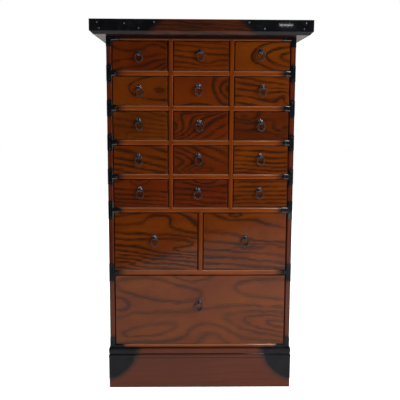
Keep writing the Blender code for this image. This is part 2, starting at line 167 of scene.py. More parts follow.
# ---------- materials
class Tree:
    """A material or a world with its node tree, and short calls for the nodes used here."""

    def __init__(self, name, blocks="materials"):
        self.block = getattr(bpy.data, blocks).new(name)
        self.block.use_nodes = True
        self.nodes = self.block.node_tree.nodes
        self.shader = self.nodes.get("Principled BSDF")

    def feed(self, socket, value):
        if isinstance(value, bpy.types.NodeSocket):
            self.block.node_tree.links.new(value, socket)
        else:
            socket.default_value = value

    def set(self, **values):
        for label, value in values.items():
            self.feed(self.shader.inputs[label.replace("_", " ")], value)

    def math(self, operation, first, second=0.0, third=0.0):
        node = self.nodes.new("ShaderNodeMath")
        node.operation = operation
        for socket, value in zip(node.inputs, (first, second, third)):
            self.feed(socket, value)
        return node.outputs[0]

    plus = partialmethod(math, "ADD")
    times = partialmethod(math, "MULTIPLY")
    times_plus = partialmethod(math, "MULTIPLY_ADD")
    larger = partialmethod(math, "MAXIMUM")

    def combine(self, x, y, z):
        node = self.nodes.new("ShaderNodeCombineXYZ")
        for socket, value in zip(node.inputs, (x, y, z)):
            self.feed(socket, value)
        return node.outputs[0]

    def separate(self, vector):
        node = self.nodes.new("ShaderNodeSeparateXYZ")
        self.feed(node.inputs[0], vector)
        return node.outputs[0], node.outputs[1], node.outputs[2]

    def noise(self, vector, scale=1.0, detail=2.0, roughness=0.5):
        node = self.nodes.new("ShaderNodeTexNoise")
        self.feed(node.inputs["Vector"], vector)
        node.inputs["Scale"].default_value = scale
        node.inputs["Detail"].default_value = detail
        node.inputs["Roughness"].default_value = roughness
        return node.outputs["Fac"], node.outputs["Color"]

    def ramp(self, factor, stops, smooth=False):
        """stops are (place, grey level)."""
        node = self.nodes.new("ShaderNodeValToRGB")
        self.feed(node.inputs[0], factor)
        node.color_ramp.interpolation = "EASE" if smooth else "LINEAR"
        elements = node.color_ramp.elements
        while len(elements) < len(stops):
            elements.new(0.5)
        for element, (place, level) in zip(elements, stops):
            element.position = place
            element.color = (level, level, level, 1.0)
        return node.outputs["Color"]

    def rise(self, value, start, end):
        return self.ramp(value, [(start, 0.0), (end, 1.0)])

    def mix(self, factor, first, second):
        node = self.nodes.new("ShaderNodeMix")
        node.data_type = "RGBA"
        for socket, value in zip((node.inputs[0], node.inputs[6], node.inputs[7]), (factor, first, second)):
            colour = isinstance(value, tuple) and len(value) == 3
            self.feed(socket, (*value, 1.0) if colour else value)
        return node.outputs[2]

    def bump(self, height, strength, distance):
        node = self.nodes.new("ShaderNodeBump")
        self.feed(node.inputs["Height"], height)
        node.inputs["Strength"].default_value = strength
        node.inputs["Distance"].default_value = distance
        self.feed(self.shader.inputs["Normal"], node.outputs[0])

    def object_point(self):
        return self.nodes.new("ShaderNodeTexCoord").outputs["Object"]


# How the grain lines run over a board: they lie spacing apart, rise by slope along the grain, and draw
# together by fan per metre along it and by crowd per metre across it. wander is their waviness and thickness
# their width. A swell (along, across, length, width, rings, tilt) is where the trunk bulged, so that lines
# close round it. level shifts the lines, and tint scales the red and the green between them.
Figure = namedtuple(
    "Figure",
    "spacing slope fan crowd wander seed contrast swells level tint thickness",
    defaults=(0.9, (), 0.85, (1.0, 1.0), 0.0030),
)

LACQUER = {"coat": 0.32, "coat_roughness": 0.09, "roughness": 0.45, "specular": 0.02}
BARE = {"coat": 0.0, "coat_roughness": 0.3, "roughness": 0.62, "specular": 0.35}

# Noise cells along and across the grain, per metre
STREAK_CELLS = (26, 300)
FEATHER_CELLS = (40, 800)
FIBRE_CELLS = (22, 620)
PORE_CELLS = (85, 2300)
TONE_CELLS = (9, 20)
# Noise cells along and across the grain, per wander size
BROAD_CELLS = (1.0, 2.2)
FINE_CELLS = (4.0, 9.0)
THICKNESS_CELLS = (1.6, 3.4)
BLOTCH_CELLS = (0.7, 2.4)

CLIMB_STEP = 0.001
LEAST_CLIMB = 0.0005
DEPTH_LEAN = 0.4
FAINT_SHARE = 0.14
HALO_SHARE = 0.20
WOOD_BUMP = (0.22, 0.0002)


class Grain:
    """The grain of one board: its own axes, and where its lines fall."""

    def __init__(self, tree, axis, centre, figure, wander_size):
        self.tree = tree
        self.figure = figure
        self.wander_size = wander_size
        shift = tree.nodes.new("ShaderNodeVectorMath")
        shift.operation = "SUBTRACT"
        tree.feed(shift.inputs[0], tree.object_point())
        shift.inputs[1].default_value = centre
        x, y, z = tree.separate(shift.outputs[0])
        self.along, self.across, self.depth = {"X": (x, z, y), "Y": (y, z, x), "Z": (z, x, y)}[axis]
        self.seeded = tree.plus(self.along, figure.seed)

    def noise(self, cells, detail=2.0, roughness=0.5, unit=1.0):
        """Noise with a number of cells along and across the grain in each unit of length."""
        along_cells, across_cells = cells[0] / unit, cells[1] / unit
        point = self.tree.combine(
            self.tree.times(self.seeded, along_cells),
            self.tree.times(self.across, across_cells),
            self.tree.times(self.depth, across_cells),
        )
        return self.tree.noise(point, detail=detail, roughness=roughness)

    def wavy_point(self):
        """A point's place along and across the grain, moved by the grain's waviness."""
        tree = self.tree
        wander = self.figure.wander

        def sway(level, amount):
            return tree.times_plus(level, 2 * amount, -amount)

        broad = self.noise(BROAD_CELLS, 1.5, 0.45, self.wander_size)[1]
        fine = self.noise(FINE_CELLS, unit=self.wander_size)[1]
        streaks = self.noise(STREAK_CELLS, 3.0, 0.65)[0]
        broad_along, broad_across, _ = tree.separate(broad)
        along = tree.plus(self.along, sway(broad_along, wander * 1.4))
        across = tree.plus(self.across, sway(broad_across, wander))
        across = tree.plus(across, sway(tree.separate(fine)[1], wander * 0.30))
        across = tree.plus(across, sway(streaks, self.figure.thickness * 1.1))
        return along, across

    def ring_count(self, along, across):
        """How many rings lie between the board's middle and a point."""
        tree, figure = self.tree, self.figure
        risen = tree.times_plus(along, -figure.slope, across)
        closer = tree.times_plus(along, figure.fan, 1.0)
        closer = tree.times_plus(across, figure.crowd, closer)
        count = tree.times(risen, tree.times(closer, 1 / figure.spacing))
        for at_along, at_across, length, width, rings, tilt in figure.swells:
            out_along = tree.times_plus(along, 1 / length, -at_along / length)
            out_across = tree.times_plus(across, 1 / width, -at_across / width)
            out_across = tree.times_plus(out_along, -tilt * length / width, out_across)
            far = tree.times_plus(out_along, out_along, tree.times(out_across, out_across))
            swell = tree.math("EXPONENT", tree.times(far, -1.0))
            count = tree.times_plus(swell, rings, count)
        return count

    def climb(self, along, across, count):
        """How much the ring count grows over a short step, in the direction where it grows most."""
        tree = self.tree
        ahead = tree.math("SUBTRACT", self.ring_count(tree.plus(along, CLIMB_STEP), across), count)
        above = tree.math("SUBTRACT", self.ring_count(along, tree.plus(across, CLIMB_STEP)), count)
        squared = tree.times_plus(ahead, ahead, tree.times(above, above))
        return tree.larger(tree.math("SQRT", squared), LEAST_CLIMB)

    def darkness(self):
        """0 between the lines and about 1 in them. A line stays as thick where the rings lie far apart."""
        tree, figure = self.tree, self.figure
        along, across = self.wavy_point()
        count = self.ring_count(along, across)
        climb = self.climb(along, across, count)
        lean = tree.times_plus(self.depth, DEPTH_LEAN / figure.spacing, figure.level)
        phase = tree.plus(count, lean)
        off = tree.math("ABSOLUTE", tree.plus(tree.math("FRACT", phase), -0.5))
        thickness = self.noise(THICKNESS_CELLS, unit=self.wander_size)[0]
        thickness = tree.larger(tree.times_plus(thickness, 3.4, -0.7), 0.35)
        away = tree.times(tree.math("DIVIDE", off, climb), CLIMB_STEP / figure.thickness)
        away = tree.math("DIVIDE", away, thickness)
        crowded = tree.ramp(off, [(0.17, 1.0), (0.40, 0.0)])
        line = tree.times(tree.ramp(away, [(0.14, 1.0), (0.86, 0.0)]), crowded)
        halo = tree.times(tree.ramp(tree.times(away, 0.4), [(0.2, 1.0), (0.9, 0.0)]), crowded)
        quarter = tree.math("FRACT", tree.times(phase, 4.0))
        fainter = tree.ramp(quarter, [(0.0, 0.0), (0.5, 0.0), (0.85, 1.0), (1.0, 0.0)])
        blotch = self.noise(BLOTCH_CELLS, unit=self.wander_size)[0]
        strength = tree.ramp(blotch, [(0.34, 0.45), (0.56, 1.0)])
        darkness = tree.times(tree.times(line, strength), figure.contrast)
        darkness = tree.times_plus(fainter, FAINT_SHARE * figure.contrast, darkness)
        darkness = tree.times_plus(halo, HALO_SHARE * figure.contrast, darkness)
        feather = tree.ramp(self.noise(FEATHER_CELLS, roughness=0.6)[0], [(0.36, 0.62), (0.60, 1.0)])
        return tree.times(darkness, feather)


def wood(name, axis, centre, figure, palette, finish, wander_size=0.10, stain_and_shade=None, highlight_and_wear=0.0):
    """Wood with its grain along an axis.

    The second-to-last argument, called with (tree, x, y, z) in world metres, gives where the wood is
    darkened: by stain, and for some boards by painted shade. The last is how strongly a painted highlight
    lightens the front's chamfers.
    """
    tree = Tree(name)
    grain = Grain(tree, axis, centre, figure, wander_size)
    darkness = grain.darkness()
    fibre = tree.rise(grain.noise(FIBRE_CELLS, 4.0, 0.65)[0], 0.36, 0.70)
    pores = tree.rise(grain.noise(PORE_CELLS)[0], 0.58, 0.66)
    tone = tree.rise(grain.noise(TONE_CELLS)[0], 0.35, 0.65)

    red, green = figure.tint
    light, deep = ((c[0] * red, c[1] * green, c[2]) for c in (palette.light, palette.deep))
    colour = tree.mix(tree.times(tone, 0.75), light, deep)
    colour = tree.mix(tree.times(fibre, 0.35), colour, deep)
    colour = tree.mix(tree.math("MINIMUM", darkness, 1.0), colour, palette.line)
    colour = tree.mix(tree.times(pores, 0.40), colour, palette.line)
    world = tree.object_point()
    # Painted highlight: lightens the front's chamfers and beads that face up, and a little those that face
    # down
    if highlight_and_wear:
        colour = tree.mix(tree.times(chamfer_highlight_mask(tree, world), highlight_and_wear), colour, CHAMFER_HIGHLIGHT_COLOUR)
    # Stain, and on some boards painted shade, darkens the colour here
    if stain_and_shade:
        colour = tree.mix(stain_and_shade(tree, *tree.separate(world)), colour, STAIN_AND_SHADE_COLOUR)
    roughness = tree.times_plus(darkness, 0.10, finish["roughness"])
    roughness = tree.times_plus(fibre, 0.06, roughness)
    height = tree.times_plus(pores, -0.6, tree.times(darkness, -0.5))
    height = tree.times_plus(fibre, -0.15, height)
    tree.bump(height, *WOOD_BUMP)
    tree.set(Base_Color=colour, Roughness=roughness, Coat_Weight=finish["coat"])
    tree.set(Coat_Roughness=finish["coat_roughness"], Specular_IOR_Level=finish["specular"])
    return tree.block


def forged_iron(name, dark, worn, metallic, roughness, specular=0.3, coat=0.0, hammered=0.25):
    """Blackened iron: faint hammer marks, scale, and wear on its raised places."""
    tree = Tree(name)
    point = tree.object_point()
    hammer = tree.noise(point, scale=130.0, detail=1.0)[0]
    scale = tree.noise(point, scale=900.0, detail=4.0, roughness=0.65)[0]
    cloud = tree.noise(point, scale=38.0, detail=3.0)[0]
    raised = tree.ramp(scale, [(0.4, 0.2), (0.7, 1.0)])
    highlight_and_wear = tree.times(tree.rise(cloud, 0.42, 0.72), raised)
    tree.set(Base_Color=tree.mix(highlight_and_wear, dark, worn), Metallic=metallic, Specular_IOR_Level=specular)
    tree.set(Roughness=tree.times_plus(scale, 0.16, roughness - 0.08))
    tree.set(Coat_Weight=coat, Coat_Roughness=0.03)
    tree.bump(tree.times_plus(scale, 0.20, hammer), hammered, 0.0003)
    return tree.block


# ---------- stain, worn darker round the irons, and painted shade under the top board and in the base's creases
def fade(tree, value, start, end):
    """0 at start, 1 at end, and eased between them."""
    share = tree.times_plus(value, 1 / (end - start), -start / (end - start))
    return tree.ramp(share, [(0.0, 0.0), (1.0, 1.0)], smooth=True)


# Where each stain and painted shade starts and is full, in metres from the cabinet's middle or from the edge
# it follows
FRONT_REACH = (0.0140, 0.0056)
RAIL_ENDS = (0.176, 0.203)
# Painted shade under the top board: below its underside, where it starts and where it is full
UNDER_TOP_SHADE = (0.0115, 0.0030)
ROUND_T_IRON = 0.017
ARRIS = (0.0055, 0.0008)
UPPER_CORNER_STAIN = 0.012
LOWER_CORNER_STAIN = 0.129
CAP_IRON_END = (-0.022, 0.0)
TOP_EDGE = (0.020, 0.004)
BEAD_IRON_REACH = (-0.020, 0.0)
# Painted shade in the base's creases: height, reach and depth of tone
CREASE_SHADES = ((LIP_TOP - 0.0008, 0.0030, 0.9), (GROOVE, 0.0026, 0.9), (PLINTH_TOP, 0.0022, 0.8))


def only_front(tree, mask, y):
    start, full = FRONT_REACH
    return tree.times(mask, fade(tree, y, FRONT + start, FRONT + full))


def chamfer_highlight_mask(tree, world):
    """Painted highlight mask: 1 on the front's chamfers and beads that look up, less on those that look down.
    """
    upward = tree.separate(tree.nodes.new("ShaderNodeNewGeometry").outputs["Normal"])[2]
    above = tree.times(fade(tree, upward, 0.30, 0.60), fade(tree, upward, 0.96, 0.86))
    below = tree.times(fade(tree, upward, -0.30, -0.60), fade(tree, upward, -0.96, -0.86))
    both = tree.times_plus(below, 0.25, above)
    return only_front(tree, both, tree.separate(world)[1])


def rail_stain_and_shade(tree, x, y, z):
    """Stain darkens towards the T irons' arms, and painted shade darkens the rail under the top board."""
    ends = tree.times(fade(tree, tree.math("ABSOLUTE", x), *RAIL_ENDS), 0.88)
    # Painted shade: the rail turns nearly black just under the top board's overhang
    start, full = (TOP_LOW.z - below for below in UNDER_TOP_SHADE)
    under_top_shade = tree.times(fade(tree, z, start, full), 0.97)
    return only_front(tree, tree.larger(ends, under_top_shade), y)


def stile_stain(tree, x, y, z):
    """Dark round each iron on the side panel's front edge, and towards its outer arris."""
    nearest = tree.math("SUBTRACT", TOP_LOW.z - UPPER_CORNER_STAIN, z)
    for low, high in SHELVES:
        middle = (low.z + high.z) / 2
        away = tree.math("ABSOLUTE", tree.math("SUBTRACT", z, middle))
        nearest = tree.math("MINIMUM", nearest, tree.math("SUBTRACT", away, ROUND_T_IRON))
    nearest = tree.math("MINIMUM", nearest, tree.math("SUBTRACT", z, LOWER_CORNER_STAIN))
    round_irons = tree.times(fade(tree, nearest, ROUND_T_IRON, 0.0), 0.9)
    start, full = (CASE_HALF - inside for inside in ARRIS)
    arris = tree.times(fade(tree, tree.math("ABSOLUTE", x), start, full), 0.85)
    return only_front(tree, tree.larger(tree.larger(round_irons, arris), 0.42), y)


def top_stain(tree, x, y, z):
    """Dark towards the cap irons' slanted ends."""
    slant = (TOP_IRON_LOWER_END - TOP_IRON_LOW.x) / (TOP_IRON_HIGH.z - TOP_IRON_LOW.z)
    end = tree.times_plus(z, -slant, TOP_IRON_LOW.x + slant * TOP_IRON_HIGH.z)
    beyond = tree.math("SUBTRACT", tree.math("ABSOLUTE", x), end)
    start, full = (TOP_LOW.y + behind for behind in TOP_EDGE)
    return tree.times(fade(tree, beyond, *CAP_IRON_END), fade(tree, y, start, full))


def base_stain_and_shade(tree, x, y, z):
    """Stain darkens round the plinth corner irons and the bead irons; painted shade darkens the base's
    creases.
    """
    out = tree.math("ABSOLUTE", x)
    across = tree.times_plus(out, -1 / PLINTH_IRON_LENGTH, PLINTH_IRON_HIGH.x / PLINTH_IRON_LENGTH)
    drop = PLINTH_IRON_HIGH.z - PLINTH_IRON_LOW.z
    down = tree.times_plus(z, -1 / drop, PLINTH_IRON_HIGH.z / drop)
    across, down = (tree.math("POWER", tree.larger(v, 0.0), PLINTH_IRON_FULLNESS) for v in (across, down))
    reach = tree.plus(across, down)
    below_beads = fade(tree, z, PLINTH_TOP + 0.0005, PLINTH_TOP - 0.0005)
    plinth = tree.times(fade(tree, reach, 1.45, 0.95), below_beads)
    end = tree.times_plus(z, -BEAD_IRON_SLANT, BEAD_IRON_END + BEAD_IRON_SLANT * LIP_TOP)
    beads = fade(tree, tree.math("SUBTRACT", out, end), *BEAD_IRON_REACH)
    beads = tree.times(beads, fade(tree, z, PLINTH_TOP - 0.001, PLINTH_TOP + 0.001))
    dark = tree.larger(tree.times(plinth, 0.85), tree.times(beads, 0.95))
    # Painted shade along each crease of the base
    for crease, width, depth in CREASE_SHADES:
        away = tree.math("ABSOLUTE", tree.plus(z, -crease))
        dark = tree.larger(dark, tree.times(fade(tree, away, width, width * 0.4), depth))
    return only_front(tree, dark, y)


# ---------- the cabinet's materials
MIDDLE = Vector((0.0, FRONT, (CAD_LOW.z + CAD_HIGH.z) / 2))
CASE_WANDER_SIZE = 0.16


def case_wood(name, axis, figure, palette=CASE_PALETTE, stain_and_shade=None, highlight_and_wear=0.0):
    return wood(name, axis, MIDDLE, Figure(*figure), palette, LACQUER, CASE_WANDER_SIZE, stain_and_shade, highlight_and_wear)


LEVEL_FIGURE = (0.011, 0.01, 0, 0, 0.006, 3.1, 0.45)
# Rails: stain towards the T irons, painted shade under the top board, and a painted highlight on their
# chamfers
LEVEL_WOOD = case_wood("case_wood_level", "X", LEVEL_FIGURE, stain_and_shade=rail_stain_and_shade, highlight_and_wear=0.35)
# Base: stain round its irons, painted shade in its creases, and a painted highlight on its beads
BASE_WOOD = case_wood("base_wood", "X", (0.018, 0.02, 0, 0, 0.012, 3.9, 0.35), BASE_PALETTE, base_stain_and_shade, 0.25)
UPRIGHT_FIGURE = (0.008, 0.02, 0, 0, 0.006, 7.7, 0.35, (), 0.85, (0.80, 0.80))
UPRIGHT_WOOD = case_wood("case_wood_upright", "Z", UPRIGHT_FIGURE)
STILE_FIGURE = (0.009, 0.02, 0, 0, 0.006, 8.4, 0.35, (), 0.85, (0.78, 0.64))
STILE_WOOD = case_wood("case_wood_stile", "Z", STILE_FIGURE, stain_and_shade=stile_stain)
DEEP_WOOD = case_wood("case_wood_deep", "Y", (0.012, 0.02, 0, 0, 0.006, 1.9, 0.30), BASE_PALETTE)
TOP_FIGURE = Figure(0.009, -0.06, 0, 0, 0.010, 5.3, 0.9)
TOP_CORNER = Vector((0.0, TOP_LOW.y, TOP_LOW.z))
TOP_WOOD = wood("top_wood", "X", TOP_CORNER, TOP_FIGURE, TOP_PALETTE, LACQUER, stain_and_shade=top_stain)
PLAIN_FIGURE = Figure(0.006, 0.02, 0, 0, 0.005, 2.2, 0.45, thickness=0.0016)
PLAIN_WOOD = wood("plain_wood", "Y", MIDDLE, PLAIN_FIGURE, PLAIN_PALETTE, BARE)
PLAIN_CROSS_WOOD = wood("plain_wood_cross", "X", MIDDLE, PLAIN_FIGURE._replace(seed=4.2), PLAIN_PALETTE, BARE)
BLACK_IRON = forged_iron("black_iron", IRON, IRON_WORN, 0.0, 0.34, specular=0.13)
GLOSSY_IRON = forged_iron("glossy_black_iron", IRON, IRON_WORN, 0.0, 0.30, 0.12, coat=1.0, hammered=0.06)
NAIL_IRON = forged_iron("nail_iron", STEEL_DARK, STEEL_WORN, 0.9, 0.30, hammered=0.1)
DARK_NAIL_IRON = forged_iron("dark_nail_iron", IRON_WORN, STEEL_DARK, 0.8, 0.30, hammered=0.1)
ROSETTE_IRON = forged_iron("rosette_iron", STEEL_DARK, STEEL_WORN, 0.85, 0.20, hammered=0.1)
RING_IRON = forged_iron("ring_iron", RING_DARK, RING_BRIGHT, 0.0, 0.30, specular=0.22, coat=0.2)

MM = 0.001


def mm_figure(spacing, slope, fan, crowd, wander, seed, contrast, tint, swells=(), level=0.85, thickness=4.6):
    """A drawer front's figure, with its lengths in millimetres."""
    scaled = []
    for along, across, length, width, rings, *tilt in swells:
        scaled.append((along * MM, across * MM, length * MM, width * MM, rings, tilt[0] if tilt else 0.0))
    shape = (spacing * MM, slope, fan / MM, crowd / MM, wander * MM)
    return Figure(*shape, seed, contrast, scaled, level, tint, thickness * MM)


# The figure of each drawer's front, from the top left to the bottom, with places from the front's middle
FIGURES = (
    # Small drawers, first row
    mm_figure(
        14, 0.06, 0.009, -0.004, 5, 0.3, 0.95, (0.77, 0.60), [(25, -28, 40, 12, 0.8), (38, 26, 34, 20, -1.4)]
    ),
    mm_figure(12, -0.08, 0, 0, 5, 1.2, 0.90, (0.99, 0.92), [(10, -14, 30, 8, 0.8)]),
    mm_figure(400, 0, 0, 0, 6, 2.4, 1.00, (1.03, 1.16), [(74, -2, 82, 31, 3.2)], level=0.73, thickness=5.5),
    # Second row
    mm_figure(90, 0, 0, 0, 4, 3.3, 1.00, (0.90, 0.93), [(47, -1, 75, 26, 1.66)]),
    mm_figure(
        80, 0, 0, 0, 5, 4.1, 1.00, (0.85, 0.72), [(72, 2, 34, 30, 2.85), (-6, -50, 60, 22, 2.2)], thickness=8
    ),
    mm_figure(15, -0.18, 0, 0, 8, 5.6, 0.95, (0.93, 0.93), [(55, -8, 30, 16, -1.2)]),
    # Third row
    mm_figure(12, -0.10, 0.003, -0.004, 5, 6.2, 0.65, (0.83, 0.94), [(-50, -34, 30, 14, 2.0)]),
    mm_figure(
        22, 0.55, 0, 0, 7, 7.9, 1.0, (0.81, 0.62), [(-70, -8, 50, 24, 2.6), (5, 40, 34, 16, 1.6)], thickness=7
    ),
    mm_figure(
        24, 0, 0, 0, 10, 8.8, 0.95, (0.61, 0.53), [(70, -7, 42, 15, 2.2), (-40, 22, 30, 12, 1.6)], thickness=8
    ),
    # Fourth row
    mm_figure(18, -0.20, 0, -0.005, 6, 9.4, 1.00, (0.90, 0.93), thickness=6.5),
    mm_figure(
        22, -0.40, 0, 0, 6, 10.7, 1.00, (0.81, 0.67),
        [(-9, -25, 44, 11, 2.4), (-60, 0, 50, 30, -1.6)],
        thickness=6.5,
    ),
    mm_figure(11.5, -0.03, 0, -0.006, 5, 11.1, 0.95, (0.95, 1.00)),
    # Fifth row
    mm_figure(
        12, -0.07, 0, -0.006, 5, 12.6, 0.95, (0.86, 0.70), [(-4, 34, 28, 13, -2.6), (50, 36, 24, 14, -1.6)]
    ),
    mm_figure(14, -0.08, 0, -0.004, 6, 13.5, 0.95, (0.78, 0.53), [(10, 30, 30, 12, 1.2)], thickness=6),
    mm_figure(10.5, 0.02, 0, -0.003, 4, 14.2, 0.85, (0.94, 0.98), thickness=4.2),
    # Medium drawers
    mm_figure(
        15, -0.10, 0, -0.003, 10, 15.8, 0.95, (0.97, 1.00),
        [(60, -26, 75, 15, 1.0), (60, 2, 75, 14, -1.1), (20, 62, 75, 28, -1.8), (-80, -55, 40, 16, -0.8)],
        thickness=6,
    ),
    mm_figure(
        24, -0.12, 0, -0.005, 9, 16.3, 0.90, (0.92, 0.96),
        [(45, 12, 48, 15, 0.8, -0.15), (-22, 66, 26, 9, 1.2), (30, -14, 60, 8, -0.9)],
        thickness=7,
    ),
    # Large drawer
    mm_figure(
        2000, 0, 0, 0, 8, 17.7, 0.70, (1.04, 1.14),
        [
            (-100, 46, 118, 33, 1.45, -0.16), (214, 46, 145, 36, 1.35, -0.09), (0, -60, 900, 62, -1.0, 0.04),
            (216, -40, 140, 27, -2.75, -0.15), (-125, -50, 85, 16, -1.0, 0.16), (29, -64, 58, 32, 1.5),
            (-215, 22, 42, 18, -1.0), (-222, -8, 30, 10, 0.8), (-22, 95, 50, 24, -1.6),
            (0, -104, 700, 30, 1.3),
        ],
        thickness=9,
    ),
)


# ---------- mesh helpers
def box_bmesh(low, high):
    bm = bmesh.new()
    bmesh.ops.create_cube(bm, size=1.0)
    size = Vector(high) - Vector(low)
    bmesh.ops.scale(bm, vec=size, verts=bm.verts)
    bmesh.ops.translate(bm, vec=(Vector(high) + Vector(low)) / 2, verts=bm.verts)
    return bm


def round_edges(bm, width, segments, chosen=None):
    edges = [edge for edge in bm.edges if chosen is None or chosen(edge)]
    bmesh.ops.bevel(
        bm, geom=edges, offset=width, segments=segments, profile=0.5, affect="EDGES", clamp_overlap=True
    )


def link(name, data):
    """Puts data into the scene as an object."""
    obj = bpy.data.objects.new(name, data)
    bpy.context.scene.collection.objects.link(obj)
    return obj


def mesh_object(name, bm, material):
    mesh = bpy.data.meshes.new(name)
    bm.to_mesh(mesh)
    bm.free()
    mesh.materials.append(material)
    return link(name, mesh)


def add_piece(name, bm, material, body, replaced=(), closed=True):
    """Makes the bmesh a piece that rides on a CAD body."""
    if closed:
        bmesh.ops.recalc_face_normals(bm, faces=bm.faces)
    obj = mesh_object(name, bm, material)
    mesh = obj.data
    mesh.shade_smooth()
    mesh.set_sharp_from_angle(angle=math.radians(32))
    for face in mesh.polygons:
        if max(abs(value) for value in face.normal) > 0.99999:
            face.use_smooth = False
    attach(obj, body)
    if replaced:
        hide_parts(*replaced)
    return obj


def angle_bevel(obj, name, width, segments, least_angle):
    bevel = obj.modifiers.new(name, "BEVEL")
    bevel.width = width
    bevel.segments = segments
    bevel.limit_method = "ANGLE"
    bevel.angle_limit = math.radians(least_angle)
    bevel.harden_normals = True


# ---------- carcass
def finish_node(name, material, ease=0.0004):
    """Gives a CAD board its wood, and rounds its edges as sanding does."""
    obj = frame["nodes"][name]
    obj.data.materials.clear()
    obj.data.materials.append(material)
    weld = obj.modifiers.new("weld", "WELD")
    weld.merge_threshold = 0.00005
    angle_bevel(obj, "eased_edges", ease, 2, 28)


def make_carcass():
    for name in (*(f"shelf_{number}" for number in range(1, 7)), "case_top", "bottom_rail"):
        finish_node(name, LEVEL_WOOD)
    for name in ("partition_left", "partition_right", "partition_centre"):
        finish_node(name, UPRIGHT_WOOD)
    for name in ("side_panel_left", "side_panel_right"):
        finish_node(name, STILE_WOOD)
    finish_node("top_board", TOP_WOOD, 0.0008)
    for name in ("back_panel", "bottom_board", "plinth_back"):
        finish_node(name, PLAIN_CROSS_WOOD)


# ---------- base moulding
PLINTH_PROUD = 0.0029
GROOVE_PROUD = 0.0012
LIP_PROUD = 0.0006
LOWER_BEAD = 0.0037
UPPER_BEAD = 0.0032
BEAD_STEPS = 14
BEAD_FULLNESS = 0.6
PLINTH_THICKNESS = 0.015
MITRE_GAP = 0.0003


def bead(low, high, root_low, root_high, crest):
    points = []
    for step in range(1, BEAD_STEPS):
        share = step / BEAD_STEPS
        root = root_low + (root_high - root_low) * share
        bulge = math.sin(math.pi * share) ** BEAD_FULLNESS
        points.append((root + (crest - root) * bulge, low + (high - low) * share))
    return points


def moulding_face():
    """The base's outer profile as (outward, z) points, from the floor up."""
    face = [(PLINTH_PROUD, 0.0), (PLINTH_PROUD, PLINTH_TOP)]
    face += bead(PLINTH_TOP, GROOVE, PLINTH_PROUD, GROOVE_PROUD, LOWER_BEAD)
    face.append((GROOVE_PROUD, GROOVE))
    face += bead(GROOVE, LIP_TOP, GROOVE_PROUD, LIP_PROUD, UPPER_BEAD)
    face.append((LIP_PROUD, LIP_TOP))
    return face


def skin(bm, loops, closed=True):
    """Makes the faces between neighbouring loops of vertices."""
    for near, far in zip(loops, loops[1:]):
        for i in range(len(near) if closed else len(near) - 1):
            j = (i + 1) % len(near)
            bm.faces.new((near[i], near[j], far[j], far[i]))


def loft(loops):
    """A closed solid through loops of points."""
    bm = bmesh.new()
    loops = [[bm.verts.new(point) for point in loop] for loop in loops]
    skin(bm, loops)
    bm.faces.new(loops[0])
    bm.faces.new(loops[-1])
    return bm


def make_base():
    inside = PLINTH_PROUD - PLINTH_THICKNESS
    section = moulding_face()
    section += [(MITRE_GAP, LIP_TOP), (MITRE_GAP, PLINTH_TOP), (inside, PLINTH_TOP), (inside, 0.0)]
    front = loft([[(side * (CASE_HALF + out), FRONT - out, z) for out, z in section] for side in (-1, 1)])
    add_piece("base_front", front, BASE_WOOD, "case", ["plinth_front"])
    for name, side in SIDES:
        near = [(side * (CASE_HALF + out), FRONT - out + 1.5 * MITRE_GAP, z) for out, z in section]
        flank = loft([near, [(x, CASE_BACK, z) for x, _, z in near]])
        add_piece(f"base_{name}", flank, DEEP_WOOD, "case", [f"plinth_{name}"])


# ---------- drawers
# The rosette's profile in millimetres, as (radius, height), from its middle out
ROSETTE = ((0.0, 3.5), (1.3, 3.42), (2.5, 3.1), (3.5, 2.6), (4.3, 1.9), (4.85, 1.2), (5.1, 0.75))
ROSETTE += ((5.5, 0.70), (6.0, 0.80), (6.4, 0.55), (6.6, 0.0))
ROSETTE_STEPS = 40
EYE_LOOP = 0.0034
EYE_WIRE = 0.0011
EYE_STEPS = 22
LEG_LENGTH = 0.009
RING_STEPS = 56
RING_TILT = 4
BOARD_GAP = 0.00015
FRONT_EASE = 0.0012
BOARD_EASE = 0.0006
BOTTOM_EASE = 0.0003
# The waviness of a drawer's grain, by the kind of drawer
WANDER_SIZES = {"small": 0.09, "medium": 0.14, "large": 0.16}


def rosette_bmesh(centre):
    """A low turned dome with a rolled rim, its axis along Y and its back at the centre point."""
    bm = bmesh.new()
    profile = [bm.verts.new((radius * MM, -height * MM, 0.0)) for radius, height in ROSETTE]
    edges = [bm.edges.new(pair) for pair in zip(profile, profile[1:])]
    turn = {"cent": (0, 0, 0), "axis": (0, 1, 0), "angle": math.tau, "steps": ROSETTE_STEPS}
    bmesh.ops.spin(bm, geom=profile + edges, use_merge=True, **turn)
    bmesh.ops.remove_doubles(bm, verts=bm.verts, dist=1e-6)
    rim = [edge for edge in bm.edges if edge.is_boundary]
    bmesh.ops.contextual_create(bm, geom=rim)
    bmesh.ops.translate(bm, vec=centre, verts=bm.verts)
    return bm


def tube_bmesh(points, radius, sides=12, closed=False):
    """A round wire along points that lie in a plane of constant X or constant Y."""
    bm = bmesh.new()
    rings = []
    count = len(points)
    for i, point in enumerate(points):
        before = points[i - 1] if closed or i else point
        after = points[(i + 1) % count] if closed or i < count - 1 else point
        ahead = (after - before).normalized()
        level = Vector((1, 0, 0)) if abs(ahead.x) < 1e-6 else Vector((0, 1, 0))
        normal = ahead.cross(level).normalized()
        ring = []
        for step in range(sides):
            angle = math.tau * step / sides
            ring.append(bm.verts.new(point + radius * (math.cos(angle) * level + math.sin(angle) * normal)))
        rings.append(ring)
    skin(bm, rings + rings[:1] if closed else rings)
    if not closed:
        bm.faces.new(rings[0])
        bm.faces.new(rings[-1])
    return bm


